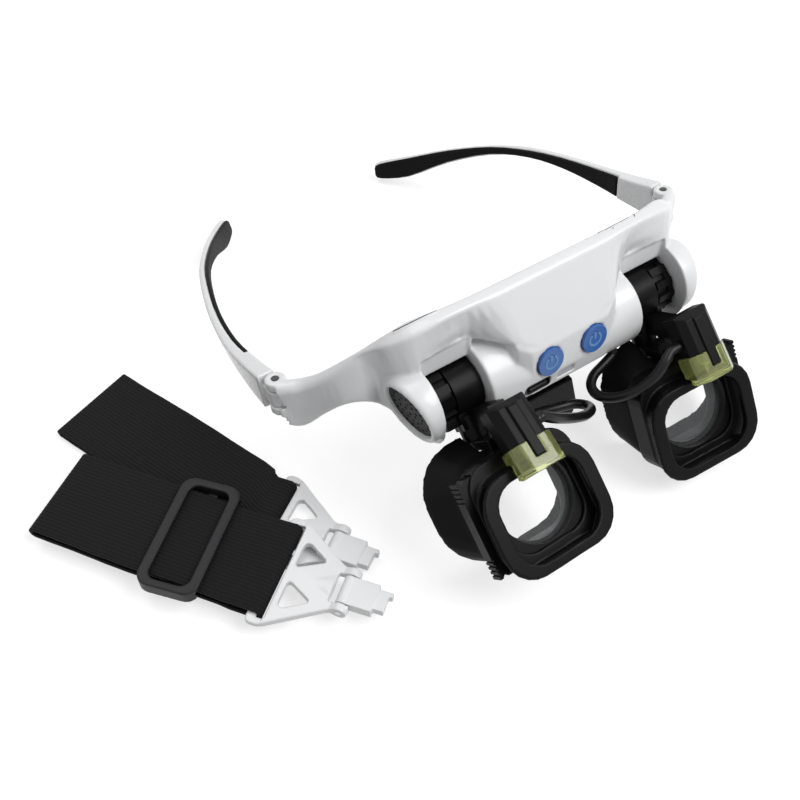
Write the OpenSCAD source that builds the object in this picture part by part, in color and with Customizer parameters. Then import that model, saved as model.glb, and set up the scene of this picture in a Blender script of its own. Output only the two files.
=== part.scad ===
// Lighted headband magnifier: a glasses frame with two flip-up lens holders, each with its own
// lamp, and a webbing headband that takes the place of the temples, laid beside it.
// Left and right are those of a viewer who looks at the front of the frame.
// The glasses are drawn in the wearer's axes: x to the viewer's right, y towards the head and z up,
// from a point midway between the tops of the two temple hinge pins. worn() then stands them up.

/* [Frame] */
// Distance between the two temple hinge pins
hinge_span = 163; // [159:1:168]
// Angle that the front is raised by as the frame stands on its temples
frame_pitch = 12; // [11:0.5:13]
// How far the flip axis lies in front of the hinge pins
flip_forward = 31; // [30:0.5:32]
// How far the flip axis lies below the tops of the hinge pins
flip_drop = 9.2; // [8.5:0.1:10]
// Outer radius of the housing round the flip axis
nose_r = 13.8; // [13.4:0.1:14.2]
// Half of the width of the middle housing, between the two pockets
nose_half = 30.5; // [30:0.5:31.5]
// Wall of the moulded housing
wall = 2.4; // [2:0.1:2.8]
// Thickness of the ear outside each pocket
ear_w = 5.4; // [5:0.2:6]
// Radius of each ear
ear_r = 12.4; // [12:0.1:13]
// Thickness of the brow plate at its top edge
brow_t = 3.4; // [2.8:0.2:4]

/* [Flip barrels] */
// Diameter of the smooth barrel
barrel_d = 19; // [18:0.5:20]
// Length of the barrel with its lugged collar
barrel_w = 17; // [16:0.5:18]
// Diameter of the axle through the barrel
axle_d = 4; // [3.4:0.2:4.6]
// Length of the lugged collar at the outer end of the barrel
collar_w = 6.5; // [5.5:0.5:7.5]
// Lugs round each collar
lug_count = 12; // [8:1:14]
// Angle that the left lens unit is flipped up by, from straight ahead
left_flip = 39.2; // [30:0.1:48]
// Angle that the right lens unit is flipped up by, from straight ahead
right_flip = 22.5; // [15:0.1:30]

/* [Lamps] */
// Width of the lamp housing
lamp_w = 13.4; // [12.5:0.1:14]
// Depth of the lamp housing from back to front
lamp_t = 8; // [7.6:0.1:9]
// Length of the lamp from its top to the tip of the cap
lamp_l = 23; // [22:0.5:25]
// Length of the clear cap at the lower end
cap_l = 9.4; // [9:0.1:10]
// How far the left lamp is set down its arm
left_lamp_set = 2; // [0:0.1:2.4]
// How far the right lamp is set up its arm
right_lamp_set = 1.4; // [0:0.1:1.8]
// Diameter of the light-emitting diode
led_d = 5; // [4:0.5:5.6]

/* [Lens holders] */
// Width of the front ring
ring_w = 41; // [40:0.5:42]
// Height of the front ring
ring_h = 33; // [32:0.5:34]
// Corner radius of the front ring
ring_r = 10.6; // [9.5:0.1:12]
// Diameter of the view through the ring, the lens and the holder
view_d = 25; // [23:0.5:26]
// Width of the rear rim of the eye cup
cup_w = 47.8; // [46:0.2:48.4]
// Height of the rear rim of the eye cup
cup_h = 38.5; // [37:0.5:39.5]
// Corner radius of the rear rim of the eye cup
cup_r = 16; // [14:0.5:17]
// Wall of the eye cup
cup_wall = 1.8; // [1.5:0.1:2.2]
// Toe-in of the left holder about its neck
left_toe = 2; // [0:0.1:4]
// Toe-in of the right holder about its neck
right_toe = 4.4; // [2:0.1:5]

/* [Lens plates] */
// Thickness of a lens plate
plate_t = 4.6; // [4:0.1:5]
// Height of a lens plate
plate_h = 31; // [30:0.5:32]
// Diameter of the lens in its plate
lens_d = 27; // [26:0.5:28]
// Length of the grip that stands out of the holder
grip_l = 4; // [3:0.5:5]

/* [Temples] */
// Height of the temple at its hinge
temple_root_h = 13; // [12:0.5:14]
// Thickness of the temple at its hinge
temple_t = 6; // [5.4:0.2:6.4]
// Height of the temple at its thin waist
temple_waist_h = 4; // [3.8:0.1:5]
// Height of the paddle near the tip
temple_tip_h = 8.8; // [8:0.2:9.6]
// Thickness of the soft lining
lining_t = 1.5; // [1.3:0.1:1.7]
// Diameter of the temple hinge pins
hinge_pin_d = 2.4; // [2:0.2:3]
// Angle that the left temple lies outside its drawn line
left_open = 3.5; // [1:0.1:5]
// Angle that the right temple is folded in from its drawn line
right_fold = 3.8; // [1:0.1:5]

/* [Controls] */
// Diameter of each push button
button_d = 9.6; // [9:0.2:10.4]
// Distance between the two push buttons
button_pitch = 17.6; // [17:0.2:20]
// Travel of a push button
button_travel = 0.7; // [0.5:0.1:0.8]
// Width of the opening of the charging port
port_w = 10; // [9:0.5:10.5]
// Height of the opening of the charging port
port_h = 3.6; // [3:0.2:4]

/* [Power] */
// Diameter of the rechargeable cell
cell_d = 14; // [12:0.5:14.5]
// Length of the rechargeable cell
cell_l = 40; // [34:1:42]
// Thickness of the circuit board
board_t = 1.2; // [0.8:0.2:1.6]

/* [Headband] */
// Width of the webbing
strap_w = 33; // [30:0.5:34]
// Thickness of the webbing
strap_t = 1.6; // [1.2:0.1:1.8]
// Length of the two back layers, from their fold to the rear clip
back_l = 80; // [77:1:83]
// Length of the two front layers, from their fold to the front clip
front_l = 76; // [73:1:79]
// Thickness of the clips
clip_t = 2.6; // [2.2:0.1:3]
// Outer length of the slider, across the webbing
slider_l = 41; // [39.5:0.5:43]
// Outer width of the slider, along the webbing
slider_w = 20.5; // [19:0.5:22]
// Thickness of the slider's bars
slider_t = 1.6; // [1.4:0.1:1.8]

/* [Fits] */
// Radial clearance of a shaft that turns in a bore
running_fit = 0.06; // [0.03:0.01:0.1]
// Clearance round a piece that slides or lifts out
slide_fit = 0.3; // [0.25:0.01:0.4]

/* [Hidden] */

// Where the glasses stand: the shift puts the origin under the middle of everything
shift_x = 40.5;
shift_y = -12.3;
stand_h = 46;
left = -1;
right = 1;

hinge_x = hinge_span / 2;
pocket_end = nose_half + barrel_w + 2 * 0.5;
ear_out = pocket_end + ear_w;
pocket_r = barrel_d / 2 + 1.2;
arc_n = 48;

function unit(v) = v / norm(v);
function flip_of(side) = side == left ? left_flip : right_flip;
function toe_of(side) = side == left ? left_toe : right_toe;

// A smooth curve through a list of points, with a number of steps from each to the next
function bend(a, b, c, d, t) = 0.5 * (2 * b + (c - a) * t + (2 * a - 5 * b + 4 * c - d) * t * t
    + (3 * b - a - 3 * c + d) * t * t * t);
function curve(p, steps) = [for (i = [0:len(p) - 2]) for (k = [0:steps - 1])
    bend(p[max(i - 1, 0)], p[i], p[i + 1], p[min(i + 2, len(p) - 1)], k / steps), p[len(p) - 1]];

// A closed ring of points with each corner rounded by its own radius
function corner(before, at, after, r) = let (p = unit(before - at), q = unit(after - at))
    [at + r * p, at + 0.3 * r * (p + q), at + r * q];
function rounded_ring(p, r) = [for (i = [0:len(p) - 1])
    each corner(p[(i + len(p) - 1) % len(p)], p[i], p[(i + 1) % len(p)], r[i])];

// The same with true arcs, a few points to each corner
function arc_corner(before, at, after, r, n = 4) = let (p = unit(before - at), q = unit(after - at),
    half = acos(p * q) / 2, mid = at + r / sin(half) * unit(p + q), turn = 180 - 2 * half,
    from = at + r / tan(half) * p - mid, to = at + r / tan(half) * q - mid)
    [for (k = [0:n]) mid + (sin(turn * (1 - k / n)) * from + sin(turn * k / n) * to) / sin(turn)];
function rounded(p, r) = [for (i = [0:len(p) - 1])
    each arc_corner(p[(i + len(p) - 1) % len(p)], p[i], p[(i + 1) % len(p)], r[i])];

// The outline of a rounded rectangle, each corner an arc of a few points
function rounded_rectangle(w, h, r, n = 6) = [for (q = [0:3]) for (k = [0:n])
    let (a = 90 * q + 90 * k / n, sx = q == 0 || q == 3 ? 1 : -1, sy = q < 2 ? 1 : -1)
    [sx * (w / 2 - r) + r * cos(a), sy * (h / 2 - r) + r * sin(a)]];

// A solid skinned over rings that have the same number of points
module loft(rings) {
    count = len(rings);
    m = len(rings[0]);
    polyhedron([for (r = rings) each r], concat(
        [for (j = [1:m - 2]) [0, j + 1, j]],
        [for (i = [0:count - 2]) for (j = [0:m - 1]) let (a = i * m + j, b = i * m + (j + 1) % m)
            each [[a, b, b + m], [a, b + m, a + m]]],
        [for (j = [1:m - 2]) let (e = (count - 1) * m) [e, e + j, e + j + 1]]));
}

// Placing
module worn() translate([shift_x, shift_y, stand_h]) rotate([-frame_pitch, 0, 0]) children();
module on_side(side) mirror([side == left ? 1 : 0, 0, 0]) children();
module at_flip_axis() translate([0, -flip_forward, -flip_drop]) children();
module along_x(from, to) translate([from, 0, 0]) rotate([90, 0, 90])
    linear_extrude(height = to - from) children();
module rod_x(from, to, r) translate([from, 0, 0]) rotate([0, 90, 0])
    cylinder(h = to - from, r = r, $fn = arc_n);
module flip_unit(side) worn() on_side(side) at_flip_axis() rotate([-flip_of(side), 0, 0]) children();

// Front shell: the brow plate runs out to both hinges as one curved band
brow_top = 23;
// Each station gives its top rear, top front, crease, low front and low rear corner
brow_rails = [
    [[0, -32.6, brow_top], [0, -33.2 - brow_t, brow_top - 0.8], [0, -41.4, 10], [0, -45, 0.5], [0, -20, 0]],
    [[11, -32.6, brow_top], [11, -33.2 - brow_t, brow_top - 0.8], [11, -41.4, 10], [10, -44.9, 0.8], [11, -20, 0]],
    [[22, -32.6, brow_top], [22, -33.2 - brow_t, brow_top - 0.8], [21.5, -39.8, 13], [20, -42.6, 5.2], [20, -20, 0]],
    [[31, -32.4, brow_top], [31.5, -33 - brow_t, brow_top - 0.9], [30.8, -35, 14], [30.4, -33.2, 8.4], [28, -19.5, 0]],
    [[40, -31.2, 22.6], [41.5, -32.2 - brow_t, 21.6], [40.5, -35, 14], [39, -33.6, 8], [36, -19, 0]],
    [[48, -28.6, 21.4], [50, -30.6 - brow_t, 19.8], [50, -34.2, 12], [48.4, -35, 5], [44, -18.4, 0]],
    [[53.6, -25.8, 18.6], [56, -29.6, 16.8], [54.6, -29, 4], [53, -31, -13.6], [49.8, -24, -13]]];
arm_rails = [
    [[57.4, -22.4, 15], [59, -25, 14.4], [57.4, -22.4, 4.8], [55.6, -22.8, -13.4], [52.6, -19.4, -13]],
    [[62, -18, 10], [63, -20.4, 11.6], [62.6, -21.2, 9], [61.5, -22, -7.6], [58.4, -18.4, -8]],
    [[66, -14, 6], [67.3, -16.2, 7.8], [68, -17.8, 5.8], [67.5, -18, -7.8], [64, -14.4, -8]],
    [[70.4, -9.6, 2.2], [72.2, -11.8, 3.8], [73, -13.4, 1.8], [72.6, -11.4, -13.4], [69.2, -8, -13.4]],
    [[74.4, -5.6, 0.2], [76.2, -7.8, 1.2], [77, -9.6, -1], [76.6, -7.2, -18], [73.4, -4.2, -18]]];
// The last stretch follows the hinge
hinge_rails = [
    [[-4.6, -4, 0.3], [-2, -6.2, 0.2], [-1.2, -7.2, -1.8], [-1.6, -5, -18.8], [-4.6, -2.4, -18.6]],
    [[-2.4, -2.6, 0], [2.2, -3.4, -0.2], [2.6, -4.2, -2], [2.6, -3.6, -16.4], [-2.2, -2.4, -16.4]]];
// Corner radii, from the low rear corner round to the top rear one
brow_corner = [1, 1.2, 0.9, 0.9, 0.8];
half_stations = concat(brow_rails, arm_rails,
    [for (s = hinge_rails) [for (p = s) p + [hinge_x, 0, 0]]]);
function rail(k) = curve([for (s = half_stations) s[k]], 3);
module half_brow() {
    rails = [for (k = [0:4]) rail(k)];
    loft([for (i = [0:len(rails[0]) - 1]) rounded_ring([for (k = [4:-1:0]) rails[k][i]], brow_corner)]);
}

facet_y = -44.9;
facet_top = 1;
button_z = -5.1;
port_x = -13;
port_z = -13.4;
window_x = -1.8;
// The flat facet that carries the buttons, and the chin under it that holds the port
module facet() hull() {
    along_x(-15, 15) polygon([[facet_y, facet_top], [facet_y, -10.5], [-43.4, -16.6],
        [-36, -19], [-34, facet_top]]);
    along_x(-20, 20) polygon([[-43, facet_top + 4], [-42.4, -10], [-40, -17], [-34, -18.5],
        [-34, facet_top + 4]]);
}

cavity_r = nose_r - wall;
cavity_half = nose_half - 2.5;
module cavity() {
    at_flip_axis() rod_x(-cavity_half, cavity_half, cavity_r);
    along_x(-18, 18)
        polygon([[-33.6, 18], [-35.4, 18], [-42.2, 1], [-42.4, -9], [-30, -9], [-22.5, -1]]);
}

// What each pocket leaves open: the round space of the barrel, the front and below
module pocket() at_flip_axis() {
    rod_x(nose_half, pocket_end, pocket_r);
    along_x(nose_half, pocket_end) polygon([[-1.2, 0], [-1.5, pocket_r - 0.2], [-2.4, 18.4], [-30, 18.4],
        [-30, -40], [5, -40], [5, -pocket_r * 0.8]]);
}

ear_turn = 6.5;
ear_tip = 11;
disc_d = 19.6;
disc_t = 1.4;
ear_ahead = 2.5;
ear_rise = 1.6;
ear_round = 2.4;
// The outer face of the ear leans a little forward and down
module at_ear_face() translate([ear_out, -flip_forward - ear_ahead, -flip_drop + ear_rise])
    rotate([0, ear_tip, -ear_turn]) children();
module ear() intersection() {
    at_ear_face() rotate([0, 90, 0]) rotate_extrude($fn = 96) polygon([[0, -ear_w - 4], [ear_r, -ear_w - 4],
        [ear_r, -ear_round], [ear_r - 0.3, 0], [ear_r - 1, 1], [ear_r - 1.8, 1.4], [disc_d / 2 + 0.3, 0.9],
        [disc_d / 2 + 0.3, 0], [0, 0]]);
    translate([pocket_end - 0.3, -60, -40]) cube([ear_w + 6, 60, 60]);
}

lug_r = 3.6;
lug_h = 3.6;
knuckle_h = temple_root_h - 2 * lug_h;
module hinge_lugs() translate([hinge_x, 0, 0]) for (z = [-lug_h, -temple_root_h])
    translate([0, 0, z]) cylinder(h = lug_h, r = lug_r, $fn = arc_n);
module hinge_cuts() translate([hinge_x, 0, 0]) {
    // The temple's knuckle turns between the two lugs
    translate([0, 0, -temple_root_h + lug_h - slide_fit])
        cylinder(h = knuckle_h + 2 * slide_fit, r = lug_r + 1, $fn = arc_n);
    // The end of the arm behind the pin is clear for the temple
    translate([-20, lug_r + 0.1, -40]) cube([40, 20, 60]);
    translate([0, 0, -30]) cylinder(h = 40, r = hinge_pin_d / 2, $fn = arc_n);
    // Below the lower lug the arm stops short of the temple
    translate([-1, -lug_r - 0.4, -40]) cube([20, 20, 40 - temple_root_h]);
}

cover_half = 20;
cover_t = 2;
cover_fit = 0.12;
// The rear slope, and lengths measured along it from its lower edge
slope_low = [-20, 0];
slope_run = [-32.6, brow_top] - slope_low;
slope_angle = atan2(slope_run[1], -slope_run[0]);
module on_slope() translate([0, slope_low[0], slope_low[1]]) rotate([-slope_angle, 0, 0])
    rotate([0, 0, 180]) children();
cover_from = 3;
cover_to = 22;
screw_d = 1.7;
screw_at = [for (x = [-cover_half + 3, cover_half - 3]) for (v = [cover_from + 2.6, cover_to - 2.6]) [x, v]];

gland_d = 5;
gland_right_x = 22.6;
gland_left_x = -24;
gland_angle = 58;
gland_end = nose_r + 0.8;
module at_gland(x) at_flip_axis() translate([x, 0, 0]) rotate([90 + gland_angle, 0, 0]) children();

bridge_w = 15;
bridge_t = 2.4;
bridge_y = -31.6;
bridge_top = -flip_drop - nose_r + 2.6;

module front_shell() color("whitesmoke") worn() difference() {
    union() {
        for (side = [left, right]) on_side(side) {
            half_brow();
            ear();
            hinge_lugs();
        }
        at_flip_axis() rod_x(-nose_half, nose_half, nose_r);
        for (side = [left, right]) on_side(side) {
            at_flip_axis() rod_x(nose_half - 0.5, pocket_end + 0.5, nose_r);
            // The brow runs down flush to the upper rim of the pocket
            along_x(nose_half - 1, pocket_end + 0.4) polygon([[-33.8, 9.6], [-33.8, 0], [-26, 0], [-26, 6]]);
        }
        facet();
    }
    for (side = [left, right]) on_side(side) {
        pocket();
        at_flip_axis() rod_x(nose_half - 3, ear_out - 3, axle_d / 2);
        at_ear_face() rod_x(-disc_t, 1, disc_d / 2);
        hinge_cuts();
        translate([button_pitch / 2, facet_y - 1, button_z]) rotate([-90, 0, 0])
            cylinder(h = 5, d = button_d + 2 * running_fit, $fn = arc_n);
    }
    cavity();
    // Seat of the rear cover, and the way in behind it
    on_slope() translate([-cover_half, cover_from, -cover_t]) cube([2 * cover_half,
        cover_to - cover_from, 10]);
    on_slope() translate([-cover_half + 5, cover_from + 1.5, -8]) cube([2 * cover_half - 10,
        cover_to - cover_from - 5, 10]);
    for (p = screw_at) on_slope() translate([p[0], p[1], -6.5]) cylinder(h = 8, d = screw_d, $fn = 24);
    // Port, window and cable glands
    translate([port_x, facet_y - 1, port_z]) rotate([-90, 0, 0]) linear_extrude(height = 6)
        polygon(rounded_rectangle(port_w, port_h, 1.2, 4));
    translate([window_x - 3.3, facet_y - 1, port_z - 1.4]) cube([6.6, 6, 2.8]);
    for (x = [gland_left_x, gland_right_x]) at_gland(x)
        cylinder(h = 20, d = gland_d - 1.4, $fn = 32);
    // Slot of the nose bridge
    translate([-bridge_w / 2, bridge_y - bridge_t / 2, bridge_top - 6])
        cube([bridge_w, bridge_t, 6]);
}

module rear_cover() color("gainsboro") worn() difference() {
    on_slope() translate([-cover_half + cover_fit, cover_from + cover_fit, -cover_t + 0.05])
        cube([2 * (cover_half - cover_fit), cover_to - cover_from - 2 * cover_fit, cover_t - 0.05]);
    for (p = screw_at) on_slope() translate([p[0], p[1], -6]) cylinder(h = 8, d = screw_d + 0.3, $fn = 24);
    for (p = screw_at) on_slope() translate([p[0], p[1], -0.9]) cylinder(h = 2, d = 3.2, $fn = 24);
    // Finger notch
    on_slope() translate([0, cover_to, -0.8]) cylinder(h = 2, r = 3, $fn = 32);
}

module cover_screws() color("silver") worn() for (p = screw_at) on_slope() translate([p[0], p[1], 0]) {
    translate([0, 0, -6]) cylinder(h = 5.2, d = screw_d - 0.04, $fn = 24);
    translate([0, 0, -0.9]) cylinder(h = 0.8, d = 3, $fn = 24);
}

// Ear discs: a dimpled disc sunk in the flat outer face of each ear
module ear_disc(side) color("dimgray") worn() on_side(side) at_ear_face() difference() {
    rod_x(-disc_t, -0.3, disc_d / 2 - 0.05);
    for (r = [2.4, 5, 7.6]) for (k = [0:2.4 * r]) rotate([360 * k / (floor(2.4 * r) + 1), 0, 0])
        translate([-0.7, r, 0]) rotate([0, 90, 0]) cylinder(h = 1, r = 0.6, $fn = 5);
}
module left_ear_disc() ear_disc(left);
module right_ear_disc() ear_disc(right);

// Power: the port, the board, the cell and the switches inside the middle housing
board_y = facet_y + 6.4;
board_h = 14;
board_l = 50;
port_depth = 5.4;
module charging_port() color("silver") worn() difference() {
    translate([port_x, board_y - port_depth - 0.1, port_z]) rotate([-90, 0, 0])
        linear_extrude(height = port_depth) polygon(rounded_rectangle(port_w - 0.2, port_h - 0.2, 1.1, 4));
    translate([port_x, board_y - port_depth - 1, port_z]) rotate([-90, 0, 0])
        linear_extrude(height = port_depth - 0.4) difference() {
            polygon(rounded_rectangle(port_w - 1, port_h - 1, 0.7, 4));
            square([port_w - 3.4, 0.7], center = true);
        }
}
module indicator_window() color("lightgray") worn()
    translate([window_x - 3.25, facet_y + 1.4, port_z - 1.35]) cube([6.5, board_y - facet_y - 1.5, 2.7]);
module circuit_board() color("seagreen") worn() difference() {
    translate([-board_l / 2, board_y, -flip_drop - board_h / 2]) cube([board_l, board_t, board_h]);
    for (x = [-board_l / 2 + 3, board_l / 2 - 3]) translate([x, board_y - 1, -flip_drop])
        rotate([-90, 0, 0]) cylinder(h = 5, d = 2, $fn = 24);
}
button_back = 2.4;
switch_l = board_y - facet_y - button_back - button_travel - 0.15;
module push_switches() color("dimgray") worn() for (side = [left, right]) on_side(side)
    translate([button_pitch / 2, board_y - 0.05, button_z]) {
        translate([-2.4, -1.6, -2.4]) cube([4.8, 1.6, 4.8]);
        rotate([90, 0, 0]) cylinder(h = switch_l, d = 2.4, $fn = 24);
    }
cell_y = board_y + board_t + 0.3 + cell_d / 2;
module rechargeable_cell() color("steelblue") worn() translate([0, cell_y, -flip_drop]) {
    rod_x(-cell_l / 2, cell_l / 2 - 1, cell_d / 2);
    rod_x(-cell_l / 2, cell_l / 2, cell_d / 6);
}

// Buttons: each cap has a power mark cut in its face and rests on its switch
module power_mark(r) {
    difference() {
        circle(r = r, $fn = 32);
        circle(r = r * 0.72, $fn = 32);
        translate([-r * 0.36, 0]) square([r * 0.72, r * 1.2]);
    }
    translate([-r * 0.14, r * 0.1]) square([r * 0.28, r * 1.1]);
}
button_proud = 0.9;
module push_button(side) color("royalblue") worn() on_side(side)
    translate([button_pitch / 2, facet_y, button_z]) rotate([90, 0, 0]) difference() {
        translate([0, 0, -button_back]) cylinder(h = button_back + button_proud, d = button_d, $fn = arc_n);
        translate([0, 0, button_proud - 0.3]) mirror([side == left ? 1 : 0, 0, 0])
            linear_extrude(height = 1) power_mark(button_d * 0.27);
    }
module left_button() push_button(left);
module right_button() push_button(right);

module cable_glands() color("black") worn() for (x = [gland_left_x, gland_right_x]) at_gland(x)
    translate([0, 0, nose_r - 2]) cylinder(h = gland_end - nose_r + 2, d = gland_d - 1.5, $fn = 32);

// Nose bridge: a stem that plugs into the underside of the housing, and its soft saddle
bridge_lean = 12;
module nose_outline(top_half, low_half, low, notch) polygon([[-top_half, 0], [-top_half - 1, -7],
    [-low_half, low + 6], [-low_half + 1, low], [-low_half + 6, low], [-notch, low + 9], [-notch / 2, low + 13],
    [notch / 2, low + 13], [notch, low + 9], [low_half - 6, low], [low_half - 1, low],
    [low_half, low + 6], [top_half + 1, -7], [top_half, 0]]);
module at_bridge() translate([0, bridge_y, bridge_top - 2.5]) rotate([bridge_lean, 0, 0]) rotate([90, 0, 0])
    children();
module nose_bridge() color("black") worn() {
    translate([-bridge_w / 2 + 0.05, bridge_y - bridge_t / 2 + 0.03, bridge_top - 5])
        cube([bridge_w - 0.1, bridge_t - 0.06, 5]);
    at_bridge() translate([0, 0, -1]) linear_extrude(height = 2) difference() {
        nose_outline(8, 13.4, -27.8, 4.5);
        for (s = [-1, 1]) translate([s * 3.4, -6]) circle(r = 1.5, $fn = 24);
    }
}
module nose_pad() color("black") worn() difference() {
    at_bridge() translate([0, 0, -2.2]) linear_extrude(height = 4.4) difference() {
        nose_outline(9.6, 15.6, -30.2, 3);
        translate([-20, -8]) square([40, 12]);
    }
    at_bridge() translate([0, 0, -1]) linear_extrude(height = 2) nose_outline(8, 13.4, -27.8, 4.5);
}

// Axles and hinge pins
module flip_axle(side) color("silver") worn() on_side(side) at_flip_axis()
    rod_x(nose_half - 2.4, ear_out - 3.1, axle_d / 2 - 0.01);
module left_flip_axle() flip_axle(left);
module right_flip_axle() flip_axle(right);
module hinge_pin(side) color("silver") worn() on_side(side) translate([hinge_x, 0, -temple_root_h])
    cylinder(h = temple_root_h, r = hinge_pin_d / 2 - 0.01, $fn = arc_n);
module left_hinge_pin() hinge_pin(left);
module right_hinge_pin() hinge_pin(right);

// Temples: the middle line from the hinge to the tip. Each row gives x, y, z, height, thickness
// and the angle that the top leans outwards by
temple_line = [[1, lug_r + 0.5, -6.5, temple_root_h, temple_t, 0], [0.5, 16, -6.7, 10.2, 5.6, 2],
    [-0.8, 31, -6, 7.4, 4.8, 8], [-4, 47, -4.4, 5.2, 4.2, 7], [-9, 62, -3.4, temple_waist_h, 3.9, 5],
    [-16.2, 78, -4.8, temple_waist_h, 3.8, 22], [-26, 94, -9, 5.8, 4, 23],
    [-36.5, 109, -15, temple_tip_h, 4.2, 18], [-44.5, 119, -17, 7.6, 4, 10], [-46.4, 121, -17.2, 4.4, 3.4, 8]];
temple_path = curve(temple_line, 3);
temple_n = len(temple_path) - 1;
function temple_side(i) = let (a = temple_path[max(i - 1, 0)], b = temple_path[min(i + 1, temple_n)],
    u = unit([b[0] - a[0], b[1] - a[1]])) [u[1], -u[0], 0];
function temple_face(i) = temple_path[i][4] / 2;
function temple_split(i) = lining_t - temple_face(i);
// The section of one layer between two offsets from the middle line, with its edges cut back
function layer_ring(i, along, near, far, edge, trim) = let (row = temple_path[i], s = temple_side(i),
    u = cos(row[5]) * s - [0, 0, sin(row[5])], v = [0, 0, cos(row[5])] + sin(row[5]) * s,
    h = row[3] / 2 - trim, c = [row[0], row[1], row[2]] + along * [-s[1], s[0], 0])
    [for (q = [[near, -h + edge], [near + edge, -h], [far - edge, -h], [far, -h + edge], [far, h - edge],
        [far - edge, h], [near + edge, h], [near, h - edge]]) c + q[0] * u + q[1] * v];
lining_from = 4;
edge_in = 0.5;
module turned_temple(side) worn() on_side(side) translate([hinge_x, 0, 0])
    rotate([0, 0, side == left ? -left_open : right_fold]) children();
module temple(side) color("whitesmoke") turned_temple(side) difference() {
    union() {
        // Full thickness at the root, then the lining takes the inner side
        loft(concat([for (i = [0:lining_from]) layer_ring(i, 0, -temple_face(i), temple_face(i), edge_in, 0)],
            [for (i = [lining_from:temple_n]) layer_ring(i, i == lining_from ? 0.2 : 0, temple_split(i),
                temple_face(i), edge_in, 0)]));
        translate([0, 0, -temple_root_h + lug_h]) cylinder(h = knuckle_h, r = lug_r - 0.1, $fn = arc_n);
        translate([-1.6, 0, -temple_root_h + lug_h]) cube([4.6, lug_r + 2, knuckle_h]);
    }
    translate([0, 0, -30]) cylinder(h = 40, r = hinge_pin_d / 2 + running_fit, $fn = arc_n);
}
module left_temple() temple(left);
module right_temple() temple(right);
module temple_lining(side) color("black") turned_temple(side)
    loft([for (i = [lining_from:temple_n]) layer_ring(i, i == lining_from ? 0.4 : 0, -temple_face(i),
        temple_split(i) - 0.02, edge_in, 0.5)]);
module left_temple_lining() temple_lining(left);
module right_temple_lining() temple_lining(right);

// Lens units: from the flip axis, y runs back, so what lies ahead is at -a and what hangs is at -b
// Middle of each neck, measured from the inner wall of its pocket
neck_in = 6.5;
head_x = nose_half + neck_in;
neck_w = 8;
neck_low = 17.4;
neck_ahead = 1.4;
swivel_d = 5;
lamp_tilt = 15;
lamp_top = 7.4;
lamp_ahead = 19.4;
// The lamp stays this far ahead of the ring, which turns behind it
lamp_clear = 1.5;
drum_from = nose_half + 0.5;
collar_from = drum_from + barrel_w - collar_w;
lamp_shift = 2.2;
function lamp_x(side) = head_x + side * lamp_shift;
function lamp_set(side) = side == left ? -left_lamp_set : right_lamp_set;
module at_lamp(side) translate([lamp_x(side), -lamp_ahead, -lamp_top]) rotate([-lamp_tilt, 0, 0])
    translate([0, 0, lamp_set(side)]) children();
module flip_bracket(side) color("black") flip_unit(side) difference() {
    union() {
        rod_x(drum_from, collar_from - 0.6, barrel_d / 2);
        rod_x(drum_from + 1, drum_from + barrel_w - 0.5, barrel_d / 2 - 1.2);
        // Lugged collar
        for (k = [0:lug_count - 1]) rotate([360 * k / lug_count, 0, 0])
            translate([collar_from, 0, barrel_d / 2 - 2]) cube([collar_w - 0.1, 2.6, 1.9]);
        rod_x(collar_from + collar_w - 2, collar_from + collar_w, barrel_d / 2 - 0.5);
        // Neck down to the swivel of the lens holder
        translate([head_x - neck_w / 2, -neck_ahead - 3.4, -neck_low + 4]) cube([neck_w, 6.8, neck_low - 8]);
        translate([head_x, -neck_ahead, -neck_low + 0.1]) cylinder(h = 8, r = 4.2, $fn = arc_n);
        translate([head_x + 2, -neck_ahead - 2, -neck_low + 6]) cube([neck_w / 2 + 2.5, 5, 5]);
        // Arm forward to the back of the lamp
        translate([lamp_x(side) - 3, -lamp_ahead - 3, -14]) cube([6, lamp_ahead, 6]);
    }
    rod_x(drum_from - 1, drum_from + barrel_w + 1, axle_d / 2 + running_fit);
    translate([head_x, -neck_ahead, -neck_low - 5]) cylinder(h = 12, r = swivel_d / 2 + running_fit,
        $fn = arc_n);
    // The lamp's back seats on the arm
    at_lamp(side) translate([-20, -20, -40]) cube([40, 20, 60]);
}
module left_flip_bracket() flip_bracket(left);
module right_flip_bracket() flip_bracket(right);

// Lamps: a housing with a rib down its front, a clear cap with a slot for the rib, and the diode
rib_w = 3.4;
cap_grow = 0.8;
module lamp_outline(grow, back) polygon([[-lamp_w / 2 - grow, -back], [-lamp_w / 2 - grow, -lamp_t * 0.72],
    [-lamp_w / 2 + 2.4, -lamp_t - grow], [lamp_w / 2 - 2.4, -lamp_t - grow],
    [lamp_w / 2 + grow, -lamp_t * 0.72], [lamp_w / 2 + grow, -back]]);
cap_top = lamp_l - cap_l;
module lamp_housing(side) color("black") flip_unit(side) at_lamp(side) difference() {
    union() {
        translate([0, 0, -cap_top]) linear_extrude(height = cap_top) lamp_outline(0, 0);
        translate([-rib_w / 2, -lamp_t - 0.9, -cap_top - cap_l * 0.55])
            cube([rib_w, 2, cap_top + cap_l * 0.55]);
    }
    // Bevelled top
    translate([-20, -lamp_t - 3, -4]) rotate([35, 0, 0]) cube([40, 12, 12]);
    translate([0, -lamp_t / 2, -cap_top - 1]) cylinder(h = 5, d = led_d + 0.1, $fn = arc_n);
}
module left_lamp_housing() lamp_housing(left);
module right_lamp_housing() lamp_housing(right);
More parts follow.
